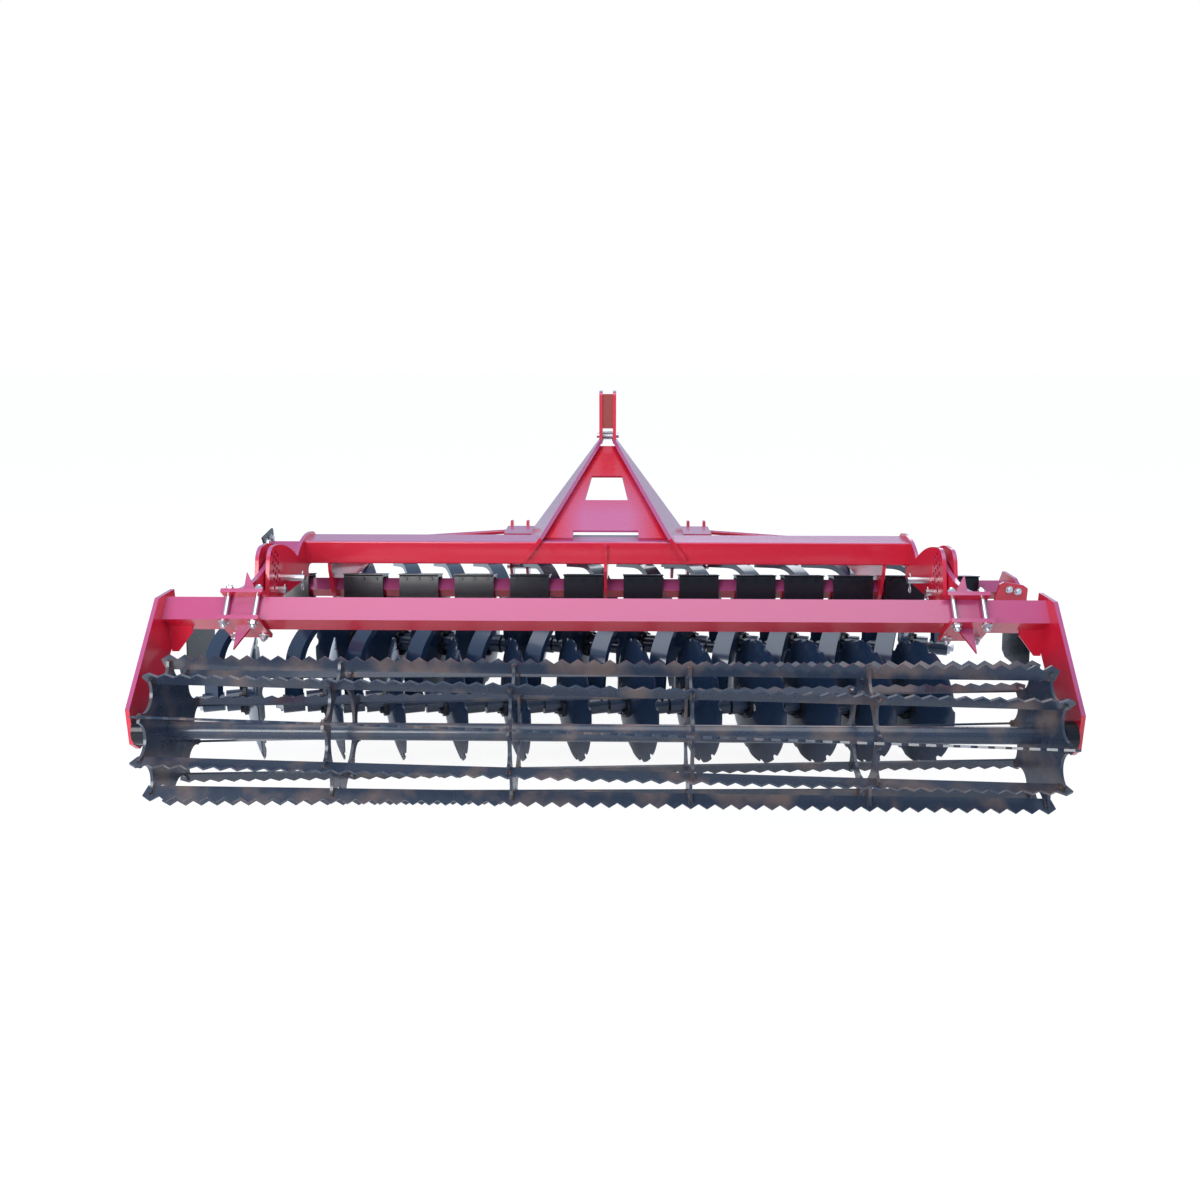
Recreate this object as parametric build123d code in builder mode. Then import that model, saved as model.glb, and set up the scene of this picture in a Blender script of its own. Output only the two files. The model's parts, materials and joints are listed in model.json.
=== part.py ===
"""Mounted compact disc harrow, about 3 m wide, with two rows of notched discs and a cage roller.

Millimetres. +X is to the right and +Y forward, as the tractor drives, +Z is up. The origin is
on the floor, in the middle of the machine's length and width. The machine stands on its discs.
Lengthwise places are first given as distances ahead of the roller's axis.
"""
import os
from math import cos, degrees, hypot, radians, sin, tan

from build123d import *

# Roller, carried behind the frame
BAR_TIP_RADIUS = 260
ROLLER_AXIS_HEIGHT = 405
BAR_COUNT = 10
BAR_SKEW = 19            # degrees that a bar winds round the axis over its length
BAR_PHASE = 22           # degrees above the level, of the bar at the rear
BAR_LENGTH = 3014
BAR_WIDTH = 52
BAR_THICKNESS = 8
BAR_END_SLOPE = 14
TOOTH_COUNT = 56
TOOTH_DEPTH = 17
RING_COUNT = 6
RING_SPREAD = 2956
RING_THICKNESS = 10
LOBE_RADIUS = 238
RING_HOLE_RADIUS = 152
SCALLOP_RADIUS = 60
SCALLOP_CENTRE = 245
ROLLER_TUBE_RADIUS = 30
ROLLER_TUBE_WALL = 6
STUB_RADIUS = 25
RUNNING_GAP = 0.05

# Roller frame, hinged to the ears of the side plates
ROLLER_BEAM_SIZE = 90
ROLLER_BEAM_WALL = 6
ROLLER_BEAM_AHEAD = 335
ROLLER_BEAM_HEIGHT = 727
ROLLER_BEAM_TILT = 50    # degrees, slope of its upper rear face
ARM_PLATE_X = 1590
ARM_PLATE_THICKNESS = 15
ARM_PLATE_BACK = 70      # from the beam's middle to the plate's rear edge
ARM_PLATE_FRONT = 60
ARM_PLATE_ABOVE = 75
ARM_FOOT_BACK = 40       # from the roller's axis to the foot's rear edge
ARM_FOOT_FRONT = 58
ARM_FOOT_ABOVE = 88
ARM_FOOT_BELOW = 62
GUSSET_SIZE = 85
BEARING_RADIUS = 52
BEARING_LENGTH = 42
CLAMP_X = 1305
CLAMP_PLATE_WIDTH = 152
CLAMP_PLATE_DEPTH = 172
CLAMP_PLATE_THICKNESS = 15
CLAMP_BOLT_RADIUS = 8
CLAMP_BOLT_SPACING = 106
CLAMP_BOLT_OFFSET = 62
CLAMP_BOLT_OVERHANG = 24
LUG_THICKNESS = 18
LUG_SIDE_GAP = 5
LUG_RADIUS = 45
LUG_PEAK = (668, 852)
LUG_WAIST = (520, 815)
FIN_HEIGHT = 95
FIN_REACH = 55
FIN_THICKNESS = 5
FIN_OFFSET = 25
PIVOT_AHEAD = 754
PIVOT_HEIGHT = 759
PIVOT_PIN_RADIUS = 12.5
PIVOT_PIN_INNER = 84     # how far the pin stands out on the inner side
STOP_AHEAD = 683
STOP_HEIGHT = 727
SEAT_GAP = 0.3

# Main frame
TUBE_DEPTH = 160
TUBE_HEIGHT = 100
TUBE_WALL = 8
TUBE_AHEAD = 1130
TUBE_MID_HEIGHT = 800
TUBE_LENGTH = 2600
SIDE_PLATE_THICKNESS = 15
SIDE_PLATE_LIP = 15
EAR_HOLE_RADIUS = 9
BEAM_SIZE = 60
BEAM_WALL = 6
BEAM_HEIGHT = 620
REAR_BEAM_AHEAD = 1150
ROW_SPACING = 800
REAR_BEAM_LEFT = -1500
REAR_BEAM_RIGHT = 1770
FRONT_BEAM_LEFT = -1770
FRONT_BEAM_RIGHT = 1500
HANGER_X = 1200
HANGER_THICKNESS = 15
HANGER_NOSE = 107        # how far a hanger reaches past the front beam

# Three-point headstock
MAST_THICKNESS = 16
MAST_EAR_GAP = 52
MAST_TOP_HEIGHT = 1436
MAST_BEND_HEIGHT = 1190
MAST_EAR_BACK = 1885
MAST_EAR_FRONT = 2015
MAST_FOOT_HEIGHT = BEAM_HEIGHT + 98
MAST_LEAN = 36.6         # degrees from upright, of the legs below the bend
MAST_HOOK = 20
TOP_LINK_RADIUS = 13
TOP_LINK_AHEAD = 1955
TOP_LINK_HEIGHT = 1370
TOP_PIN_HEIGHT = 1215
FILLER_BOTTOM = 1255
PANEL_THICKNESS = 10
HITCH_PLATE_X = (345, 430, 515)
HITCH_PLATE_THICKNESS = 15
HITCH_NOSE_AHEAD = 2180
HITCH_HOLE_RADIUS = 14.5
HITCH_HOLE_AHEAD = 2115
HITCH_HOLE_HEIGHT = 610
HITCH_PIN_HEIGHT = 495
PIN_SLACK = 0.3
BRACE_RADIUS = 12

# Disc units
REAR_UNITS_X = (-1400, -1070, -825, -580, -335, -98, 165, 410, 660, 870, 1085, 1310)
DISC_RADIUS = 255
DISC_THICKNESS = 5
DISC_DISH = 48
DISC_FLAT_RADIUS = 62
NOTCH_COUNT = 12
NOTCH_RADIUS = 24
NOTCH_CENTRE = 264
DISC_ANGLE = 18
HUB_RADIUS = 44
HUB_START = 50           # along the axle, from the middle of the arm
HUB_LENGTH = 80
SPINDLE_RADIUS = 20
SPINDLE_END = 110
BARREL_RADIUS = 38
BARREL_LENGTH = 84
ARM_TRAIL = 490
ARM_SIDESTEP = 200
LEAF_WIDTH = 70
LEAF_THICKNESS = 30
HOUSING_INSIDE = 96
HOUSING_WALL = 8
HOUSING_LENGTH = 172
HOUSING_TILT = 12        # degrees, rear edge up, under the machine's weight
COVER_THICKNESS = 5
COVER_OVERHANG = 4
COVER_LENGTH = 178
HOUSING_CORNER = 7
DEFLECTOR_BOX_X = 1545
CORD_RADIUS = 15
CORD_LENGTH = 166

# Side deflectors
DEFLECTOR_X = 1785
DEFLECTOR_THICKNESS = 6
CARRIER_THICKNESS = 10

# Derived places
ROLLER_REACH = BAR_TIP_RADIUS * cos(radians(36 - BAR_PHASE - BAR_SKEW / 2))
ROLLER_Y = -(HITCH_NOSE_AHEAD - ROLLER_REACH) / 2
TUBE_Y = ROLLER_Y + TUBE_AHEAD
TUBE_TOP = TUBE_MID_HEIGHT + TUBE_HEIGHT / 2
TUBE_BOTTOM = TUBE_MID_HEIGHT - TUBE_HEIGHT / 2
REAR_BEAM_Y = ROLLER_Y + REAR_BEAM_AHEAD
FRONT_BEAM_Y = REAR_BEAM_Y + ROW_SPACING
FRONT_UNITS_X = tuple(-x for x in reversed(REAR_UNITS_X))
SIDE_PLATE_X = TUBE_LENGTH / 2
EAR_GAP = LUG_THICKNESS + 2 * LUG_SIDE_GAP
OUTER_EAR_X = SIDE_PLATE_X + SIDE_PLATE_THICKNESS + EAR_GAP
LUG_X = SIDE_PLATE_X + SIDE_PLATE_THICKNESS + LUG_SIDE_GAP
HITCH_HOLE_Y = ROLLER_Y + HITCH_HOLE_AHEAD

os.makedirs("parts", exist_ok=True)


def ahead(distance, height):
    """Point of the YZ plane, from its distance ahead of the roller's axis and its height."""
    return (ROLLER_Y + distance, height)


def save(part, name):
    """Label a finished piece and write it."""
    part.label = name
    export_step(part, f"parts/{name}.step")


def upright(x):
    """Plane across the machine at x, drawn in Y and Z."""
    return Plane.YZ.offset(x)


def side(x, thickness, sign):
    """Plane of an upright plate whose inner face is at x, on the side given by sign."""
    return upright(x if sign > 0 else -x - thickness)


# Main tube
with BuildPart() as main_tube:
    with BuildSketch(upright(-TUBE_LENGTH / 2)):
        with Locations((TUBE_Y, TUBE_MID_HEIGHT)):
            RectangleRounded(TUBE_DEPTH, TUBE_HEIGHT, TUBE_WALL)
            Rectangle(TUBE_DEPTH - 2 * TUBE_WALL, TUBE_HEIGHT - 2 * TUBE_WALL, mode=Mode.SUBTRACT)
    extrude(amount=TUBE_LENGTH)
save(main_tube.part, "main_tube")


def solid_bar(y, z, depth, height, tilt, start, end):
    """Plain bar along X, to cut seats with."""
    with BuildPart() as bar:
        with BuildSketch(upright(start)):
            with Locations((y, z)):
                Rectangle(depth, height, rotation=tilt)
        extrude(amount=end - start)
    return bar.part


TUBE_SOLID = solid_bar(
    TUBE_Y, TUBE_MID_HEIGHT, TUBE_DEPTH, TUBE_HEIGHT, 0, -TUBE_LENGTH / 2, TUBE_LENGTH / 2
)
REAR_BEAM_SOLID = solid_bar(
    REAR_BEAM_Y, BEAM_HEIGHT, BEAM_SIZE, BEAM_SIZE, 45, REAR_BEAM_LEFT, REAR_BEAM_RIGHT
)
FRONT_BEAM_SOLID = solid_bar(
    FRONT_BEAM_Y, BEAM_HEIGHT, BEAM_SIZE, BEAM_SIZE, 45, FRONT_BEAM_LEFT, FRONT_BEAM_RIGHT
)


# Disc beams, square tubes set on their corners
def disc_beam(name, y, start, end):
    with BuildPart() as beam:
        with BuildSketch(upright(start)):
            with Locations((y, BEAM_HEIGHT)):
                Rectangle(BEAM_SIZE, BEAM_SIZE, rotation=45)
                Rectangle(BEAM_SIZE - 2 * BEAM_WALL, BEAM_SIZE - 2 * BEAM_WALL, rotation=45, mode=Mode.SUBTRACT)
        extrude(amount=end - start)
    save(beam.part, name)


disc_beam("rear_beam", REAR_BEAM_Y, REAR_BEAM_LEFT, REAR_BEAM_RIGHT)
disc_beam("front_beam", FRONT_BEAM_Y, FRONT_BEAM_LEFT, FRONT_BEAM_RIGHT)


# Side plates: they close the tube's ends and carry the roller frame between two ears
TUBE_REAR = TUBE_AHEAD - TUBE_DEPTH / 2
TUBE_FRONT = TUBE_AHEAD + TUBE_DEPTH / 2
EAR_BACK_LOW = (545, 700)
EAR_BACK_HIGH = (604, 862)
EAR_TOP = (680, 908)
VALLEY = (942, 806)
EAR_FRONT = 860
BODY_FRONT = REAR_BEAM_AHEAD - 78
BODY_BOTTOM = 690
HOLE_COLUMNS = 4
HOLE_ROWS = 5
HOLE_PITCH_Y = 21
HOLE_PITCH_Z = 33
FIRST_HOLE = (634, 748)


def ear_holes(plane, thickness):
    """Staggered rows of holes for the stop pin, near the ear's rear edge."""
    with BuildPart() as holes:
        with BuildSketch(plane):
            for column in range(HOLE_COLUMNS):
                for row in range(HOLE_ROWS - column % 2):
                    height = FIRST_HOLE[1] + (row + (column % 2) / 2) * HOLE_PITCH_Z
                    with Locations(ahead(FIRST_HOLE[0] + column * HOLE_PITCH_Y, height)):
                        Circle(EAR_HOLE_RADIUS)
        extrude(amount=thickness)
    return holes.part


def pin_holes(plane, thickness):
    """Holes of the pivot pin and the stop pin."""
    with BuildPart() as holes:
        with BuildSketch(plane):
            with Locations(ahead(PIVOT_AHEAD, PIVOT_HEIGHT), ahead(STOP_AHEAD, STOP_HEIGHT)):
                Circle(PIVOT_PIN_RADIUS + RUNNING_GAP)
        extrude(amount=thickness)
    return holes.part


def side_plate(name, sign):
    inner = side(SIDE_PLATE_X, SIDE_PLATE_THICKNESS, sign)
    outer = side(OUTER_EAR_X, SIDE_PLATE_THICKNESS, sign)
    spacer = side(SIDE_PLATE_X, OUTER_EAR_X - SIDE_PLATE_X, sign)
    with BuildPart() as plate:
        with BuildSketch(inner):
            with BuildLine():
                crest = ahead(TUBE_FRONT - 20, TUBE_TOP + SIDE_PLATE_LIP)
                ThreePointArc(crest, ahead(TUBE_REAR - 10, 858), ahead(*VALLEY))
                ThreePointArc(ahead(*VALLEY), ahead(840, 866), ahead(*EAR_TOP))
                ThreePointArc(ahead(*EAR_TOP), ahead(630, 897), ahead(*EAR_BACK_HIGH))
                Polyline(
                    ahead(*EAR_BACK_HIGH),
                    ahead(*EAR_BACK_LOW),
                    ahead(EAR_BACK_LOW[0] + 20, BODY_BOTTOM),
                    ahead(BODY_FRONT, BODY_BOTTOM),
                    ahead(BODY_FRONT, TUBE_BOTTOM - 40),
                )
                corner = ahead(BODY_FRONT + 40, TUBE_BOTTOM - SIDE_PLATE_LIP)
                RadiusArc(ahead(BODY_FRONT, TUBE_BOTTOM - 40), corner, 32)
                Polyline(
                    corner,
                    ahead(TUBE_FRONT + SIDE_PLATE_LIP, TUBE_BOTTOM - SIDE_PLATE_LIP),
                    ahead(TUBE_FRONT + SIDE_PLATE_LIP, TUBE_TOP - 10),
                    crest,
                )
            make_face()
        extrude(amount=SIDE_PLATE_THICKNESS)
        with BuildSketch(outer):
            with BuildLine():
                ThreePointArc(ahead(EAR_FRONT, 840), ahead(780, 893), ahead(*EAR_TOP))
                ThreePointArc(ahead(*EAR_TOP), ahead(630, 897), ahead(*EAR_BACK_HIGH))
                Polyline(
                    ahead(*EAR_BACK_HIGH),
                    ahead(*EAR_BACK_LOW),
                    ahead(EAR_BACK_LOW[0] + 20, BODY_BOTTOM),
                    ahead(EAR_FRONT, BODY_BOTTOM),
                    ahead(EAR_FRONT, 840),
                )
            make_face()
        extrude(amount=SIDE_PLATE_THICKNESS)
        with BuildSketch(spacer):
            with Locations(ahead(EAR_FRONT - 15, 760)):
                Rectangle(30, 130)
        extrude(amount=OUTER_EAR_X - SIDE_PLATE_X)
        add(ear_holes(inner, SIDE_PLATE_THICKNESS), mode=Mode.SUBTRACT)
        add(pin_holes(inner, SIDE_PLATE_THICKNESS), mode=Mode.SUBTRACT)
        add(pin_holes(outer, SIDE_PLATE_THICKNESS), mode=Mode.SUBTRACT)
    save(plate.part, name)


side_plate("side_plate_left", -1)
side_plate("side_plate_right", 1)


# Hangers: plates under the tube that hold both disc beams
def hanger(x, climbs):
    """Hanger at x; the middle one climbs the tube's rear face."""
    rear_top = TUBE_TOP - 12 if climbs else TUBE_BOTTOM
    back = TUBE_REAR - 15 if climbs else TUBE_REAR
    with BuildPart() as plate:
        with BuildSketch(upright(x - HANGER_THICKNESS / 2)):
            with BuildLine():
                Polyline(
                    ahead(back, rear_top),
                    ahead(back, TUBE_BOTTOM - 30),
                    ahead(REAR_BEAM_AHEAD - 70, BEAM_HEIGHT - 10),
                    ahead(REAR_BEAM_AHEAD - 30, BEAM_HEIGHT - 62),
                    ahead(REAR_BEAM_AHEAD + 60, BEAM_HEIGHT - 62),
                    ahead(REAR_BEAM_AHEAD + 130, BEAM_HEIGHT - 20),
                    ahead(REAR_BEAM_AHEAD + ROW_SPACING - 110, BEAM_HEIGHT - 20),
                    ahead(REAR_BEAM_AHEAD + ROW_SPACING - 40, BEAM_HEIGHT - 62),
                    ahead(REAR_BEAM_AHEAD + ROW_SPACING + 35, BEAM_HEIGHT - 62),
                    ahead(REAR_BEAM_AHEAD + ROW_SPACING + HANGER_NOSE, BEAM_HEIGHT),
                    ahead(REAR_BEAM_AHEAD + ROW_SPACING + HANGER_NOSE, BEAM_HEIGHT + 50),
                    ahead(REAR_BEAM_AHEAD + ROW_SPACING + 20, BEAM_HEIGHT + 76),
                    ahead(TUBE_FRONT + 160, BEAM_HEIGHT + 80),
                    ahead(TUBE_FRONT + 40, TUBE_BOTTOM),
                    ahead(TUBE_FRONT, TUBE_BOTTOM + 40),
                    ahead(TUBE_FRONT - 30, rear_top),
                    ahead(back, rear_top),
                )
            make_face()
        extrude(amount=HANGER_THICKNESS)
        add(TUBE_SOLID, mode=Mode.SUBTRACT)
        add(REAR_BEAM_SOLID, mode=Mode.SUBTRACT)
        add(FRONT_BEAM_SOLID, mode=Mode.SUBTRACT)
    return plate.part


hangers = [hanger(-HANGER_X, False), hanger(0, True), hanger(HANGER_X, False)]
save(Compound(children=hangers), "hangers")


# Headstock legs: each is an upright ear above a bend and a leaning leg below it
LEAN = radians(MAST_LEAN)
EAR_INNER_X = MAST_EAR_GAP / 2


def leg_point(distance, height):
    """Point of a leaning leg's own plane, from the place that it has in side view."""
    return (ROLLER_Y + distance, (height - MAST_BEND_HEIGHT) / cos(LEAN))


def mast_leg(sign):
    lean_plane = Plane(
        origin=(sign * EAR_INNER_X, 0, MAST_BEND_HEIGHT),
        x_dir=(0, 1, 0),
        z_dir=(sign * cos(LEAN), 0, sin(LEAN)),
    )
    flip = 1 if sign > 0 else -1
    with BuildPart() as leg:
        with BuildSketch(lean_plane):
            with BuildLine():
                outline = [
                    (MAST_EAR_BACK, MAST_BEND_HEIGHT + 6),
                    (TUBE_REAR - MAST_HOOK, TUBE_TOP + 12),
                    (TUBE_REAR - MAST_HOOK, TUBE_MID_HEIGHT - 30),
                    (TUBE_FRONT - 40, TUBE_MID_HEIGHT - 30),
                    (TUBE_FRONT + 60, TUBE_MID_HEIGHT - 30),
                    (MAST_EAR_BACK + 25, MAST_FOOT_HEIGHT),
                    (MAST_EAR_FRONT + 25, MAST_FOOT_HEIGHT),
                    (MAST_EAR_FRONT, MAST_BEND_HEIGHT + 6),
                ]
                points = [leg_point(*point) for point in outline]
                Polyline(*[(y, flip * v) for y, v in points], close=True)
            make_face()
        extrude(amount=MAST_THICKNESS)
        with BuildSketch(side(EAR_INNER_X, MAST_THICKNESS, sign)):
            middle = (MAST_EAR_BACK + MAST_EAR_FRONT) / 2
            with Locations(ahead(middle, (MAST_TOP_HEIGHT + MAST_BEND_HEIGHT - 10) / 2)):
                Rectangle(MAST_EAR_FRONT - MAST_EAR_BACK, MAST_TOP_HEIGHT - MAST_BEND_HEIGHT + 10)
        extrude(amount=MAST_THICKNESS)
        top_edges = leg.edges().filter_by(Axis.X).group_by(Axis.Z)[-1]
        fillet(top_edges, 22)
        with BuildSketch(side(EAR_INNER_X - 1, MAST_THICKNESS + 2, sign)):
            with Locations(ahead(TOP_LINK_AHEAD, TOP_LINK_HEIGHT), ahead(TOP_LINK_AHEAD, TOP_PIN_HEIGHT)):
                Circle(TOP_LINK_RADIUS)
        extrude(amount=MAST_THICKNESS + 2, mode=Mode.SUBTRACT)
        add(TUBE_SOLID, mode=Mode.SUBTRACT)
    return leg.part


mast_left = mast_leg(-1)
mast_right = mast_leg(1)
save(mast_left, "mast_left")
save(mast_right, "mast_right")


# Sloping panel between the legs, with a window and a slot
PANEL_LOW = (1095, TUBE_TOP)
PANEL_HIGH = (1885, 1160)
WINDOW_LOW = 320         # along the panel
WINDOW_HIGH = 545
WINDOW_HALF_LOW = 99
WINDOW_HALF_HIGH = 72
SLOT_HEIGHT = 60
SLOT_LENGTH = 284


def panel_half_width(height, margin):
    return EAR_INNER_X + (MAST_BEND_HEIGHT - height) * tan(LEAN) + margin


PANEL_LENGTH = hypot(PANEL_HIGH[0] - PANEL_LOW[0], PANEL_HIGH[1] - PANEL_LOW[1])
PANEL_DIRECTION = (
    0, (PANEL_HIGH[0] - PANEL_LOW[0]) / PANEL_LENGTH, (PANEL_HIGH[1] - PANEL_LOW[1]) / PANEL_LENGTH
)
panel_plane = Plane(
    origin=(0, *ahead(*PANEL_LOW)),
    x_dir=(1, 0, 0),
    z_dir=(0, -PANEL_DIRECTION[2], PANEL_DIRECTION[1]),
)


PANEL_HALF_LOW = panel_half_width(PANEL_LOW[1], 10)
PANEL_HALF_HIGH = panel_half_width(PANEL_HIGH[1], 10)
with BuildPart() as mast_panel:
    with BuildSketch(panel_plane):
        with BuildLine():
            Polyline(
                (-PANEL_HALF_LOW, 0), (PANEL_HALF_LOW, 0),
                (PANEL_HALF_HIGH, PANEL_LENGTH), (-PANEL_HALF_HIGH, PANEL_LENGTH), close=True,
            )
        make_face()
        with BuildLine():
            Polyline(
                (-WINDOW_HALF_LOW, WINDOW_LOW), (WINDOW_HALF_LOW, WINDOW_LOW),
                (WINDOW_HALF_HIGH, WINDOW_HIGH), (-WINDOW_HALF_HIGH, WINDOW_HIGH), close=True,
            )
        make_face(mode=Mode.SUBTRACT)
        Rectangle(SLOT_LENGTH, 2 * SLOT_HEIGHT, mode=Mode.SUBTRACT)
    extrude(amount=PANEL_THICKNESS)
    add(mast_left, mode=Mode.SUBTRACT)
    add(mast_right, mode=Mode.SUBTRACT)
save(mast_panel.part, "mast_panel")

# Filler between the ears, and the pin below the top-link hole
with BuildPart() as mast_filler:
    with BuildSketch(upright(-EAR_INNER_X)):
        with Locations(ahead(MAST_EAR_BACK + 14, (MAST_TOP_HEIGHT + FILLER_BOTTOM) / 2 - 6)):
            Rectangle(12, MAST_TOP_HEIGHT - FILLER_BOTTOM - 12)
    extrude(amount=MAST_EAR_GAP)
save(mast_filler.part, "mast_filler")

with BuildPart() as mast_pin:
    with BuildSketch(upright(-EAR_INNER_X - MAST_THICKNESS - 14)):
        with Locations(ahead(TOP_LINK_AHEAD, TOP_PIN_HEIGHT)):
            Circle(TOP_LINK_RADIUS - PIN_SLACK)
    extrude(amount=MAST_EAR_GAP + 2 * MAST_THICKNESS + 28)
save(mast_pin.part, "mast_pin")

# Lower hitch: a bridge on each side, over the disc housings, on posts that stand on the front beam
BRIDGE_THICKNESS = 12
BRIDGE_BACK = 1895
BRIDGE_FRONT = 2110
BRIDGES = ((-535, -279, (-527, -287)), (208, 535, (216, 457)))   # ends and posts, between housings
POST_THICKNESS = 15
HITCH_BACK = 2034
HITCH_BOTTOM = 440
HITCH_TOP = 742
BRIDGE_UNDERSIDE = MAST_FOOT_HEIGHT - BRIDGE_THICKNESS

with BuildPart() as hitch_bridges:
    for start, end, posts in BRIDGES:
        with BuildSketch(Plane.XY.offset(BRIDGE_UNDERSIDE)):
            with Locations(((start + end) / 2, ROLLER_Y + (BRIDGE_BACK + BRIDGE_FRONT) / 2)):
                Rectangle(end - start, BRIDGE_FRONT - BRIDGE_BACK)
        extrude(amount=BRIDGE_THICKNESS)
        for x in posts:
            with BuildSketch(upright(x - POST_THICKNESS / 2)):
                with Locations(ahead(REAR_BEAM_AHEAD + ROW_SPACING, (BRIDGE_UNDERSIDE + BEAM_HEIGHT) / 2)):
                    Rectangle(96, BRIDGE_UNDERSIDE - BEAM_HEIGHT)
            extrude(amount=POST_THICKNESS)
    add(FRONT_BEAM_SOLID, mode=Mode.SUBTRACT)
save(hitch_bridges.part, "hitch_bridges")


def hitch(sign):
    """Three hitch plates of one side, hanging from the bridge."""
    plates = []
    for x in HITCH_PLATE_X:
        with BuildPart() as plate:
            with BuildSketch(side(x - HITCH_PLATE_THICKNESS / 2, HITCH_PLATE_THICKNESS, sign)):
                with BuildLine():
                    Polyline(
                        ahead(HITCH_BACK, BRIDGE_UNDERSIDE),
                        ahead(HITCH_BACK, HITCH_BOTTOM + 60),
                        ahead(HITCH_BACK + 40, HITCH_BOTTOM),
                        ahead(HITCH_NOSE_AHEAD - 30, HITCH_BOTTOM),
                        ahead(HITCH_NOSE_AHEAD, HITCH_BOTTOM + 40),
                        ahead(HITCH_NOSE_AHEAD, BRIDGE_UNDERSIDE - 40),
                        ahead(HITCH_NOSE_AHEAD - 25, HITCH_TOP),
                        ahead(BRIDGE_FRONT + 12, HITCH_TOP),
                        ahead(BRIDGE_FRONT, BRIDGE_UNDERSIDE),
                        close=True,
                    )
                make_face()
                with Locations(
                    ahead(HITCH_HOLE_AHEAD, HITCH_PIN_HEIGHT), ahead(HITCH_HOLE_AHEAD, HITCH_HOLE_HEIGHT)
                ):
                    Circle(HITCH_HOLE_RADIUS, mode=Mode.SUBTRACT)
            extrude(amount=HITCH_PLATE_THICKNESS)
        plates.append(plate.part)
    return plates


save(Compound(children=hitch(-1) + hitch(1)), "hitch_plates")


# Tie rods from the outer hitch plates to the hangers
TIE_FRONT = (2095, 690)
TIE_REAR = (2036, 655)


def tie_rod(sign):
    inner = sign * (HITCH_PLATE_X[2] + HITCH_PLATE_THICKNESS / 2)
    outer = sign * (HANGER_X - HANGER_THICKNESS / 2)
    start, finish = (inner, *ahead(*TIE_FRONT)), (outer, *ahead(*TIE_REAR))
    run = tuple(b - a for a, b in zip(start, finish))
    middle = Plane(origin=tuple((a + b) / 2 for a, b in zip(start, finish)), z_dir=run)
    with BuildPart() as rod:
        with BuildSketch(middle):
            Circle(BRACE_RADIUS)
        extrude(amount=hypot(*run) / 2 + 3 * BRACE_RADIUS, both=True)
        between = (inner + outer) / 2
        with Locations((between, middle.origin.Y, middle.origin.Z)):
            Box(abs(outer - inner), 200, 200, mode=Mode.INTERSECT)
    return rod.part


save(Compound(children=[tie_rod(-1), tie_rod(1)]), "tie_rods")


def cross_pin(sign, start, end, distance, height, radius):
    """Round pin along X between two distances from the machine's middle."""
    with BuildPart() as pin:
        with BuildSketch(side(start, end - start, sign)):
            with Locations(ahead(distance, height)):
                Circle(radius)
        extrude(amount=end - start)
    return pin.part


hitch_pins = [
    cross_pin(sign, HITCH_PLATE_X[0] - 40, HITCH_PLATE_X[2] + 30, HITCH_HOLE_AHEAD, HITCH_PIN_HEIGHT,
              HITCH_HOLE_RADIUS - PIN_SLACK)
    for sign in (-1, 1)
]
save(Compound(children=hitch_pins), "hitch_pins")

# Pins of the roller's ears, pushed through from outside
EAR_OUTER_X = OUTER_EAR_X + SIDE_PLATE_THICKNESS
ear_pins = [
    cross_pin(sign, SIDE_PLATE_X - inner, EAR_OUTER_X + 18, distance, height, PIVOT_PIN_RADIUS)
    for sign in (-1, 1)
    for inner, distance, height in (
        (PIVOT_PIN_INNER, PIVOT_AHEAD, PIVOT_HEIGHT), (30, STOP_AHEAD, STOP_HEIGHT)
    )
]
save(Compound(children=ear_pins), "ear_pins")


# Disc housings: boxes round the beams, turned a little against them, with rubber cords inside
HOUSING_SIZE = HOUSING_INSIDE + 2 * HOUSING_WALL
CORD_PLACE = HOUSING_INSIDE / 2 - CORD_RADIUS


def housing(x, y):
    tilted = Plane(
        origin=(x - HOUSING_LENGTH / 2, y, BEAM_HEIGHT),
        x_dir=(0, cos(radians(HOUSING_TILT)), -sin(radians(HOUSING_TILT))),
        z_dir=(1, 0, 0),
    )
    with BuildPart() as box:
        with BuildSketch(tilted):
            RectangleRounded(HOUSING_SIZE, HOUSING_SIZE, HOUSING_CORNER)
            Rectangle(HOUSING_INSIDE, HOUSING_INSIDE, mode=Mode.SUBTRACT)
        extrude(amount=HOUSING_LENGTH)
        with BuildSketch(tilted.offset((HOUSING_LENGTH - COVER_LENGTH) / 2)):
            with Locations((0, (HOUSING_SIZE + COVER_THICKNESS) / 2)):
                Rectangle(HOUSING_SIZE + 2 * COVER_OVERHANG, COVER_THICKNESS)
        extrude(amount=COVER_LENGTH)
    with BuildPart() as block:
        with BuildSketch(tilted):
            Rectangle(HOUSING_SIZE, HOUSING_SIZE)
        extrude(amount=HOUSING_LENGTH)
    with BuildPart() as cords:
        with BuildSketch(tilted.offset((HOUSING_LENGTH - CORD_LENGTH) / 2)):
            with GridLocations(2 * CORD_PLACE, 2 * CORD_PLACE, 2, 2):
                Circle(CORD_RADIUS)
        extrude(amount=CORD_LENGTH)
    return box.part, cords.part, block.part


# Arms, from the housings down to the spindles
ARM_SPAN = hypot(ARM_TRAIL, ARM_SIDESTEP)
SEAT_SLOPE = tan(radians(HOUSING_TILT)) * ARM_TRAIL / ARM_SPAN
SEAT_HEIGHT = BEAM_HEIGHT - HOUSING_SIZE / 2 / cos(radians(HOUSING_TILT))
SEAT_FRONT = -52
SEAT_REAR = 58
CREST = (300, 592)
KNEE = (470, 505)
INNER_CREST = (298, 561)
INNER_KNEE = (446, 487)


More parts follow.
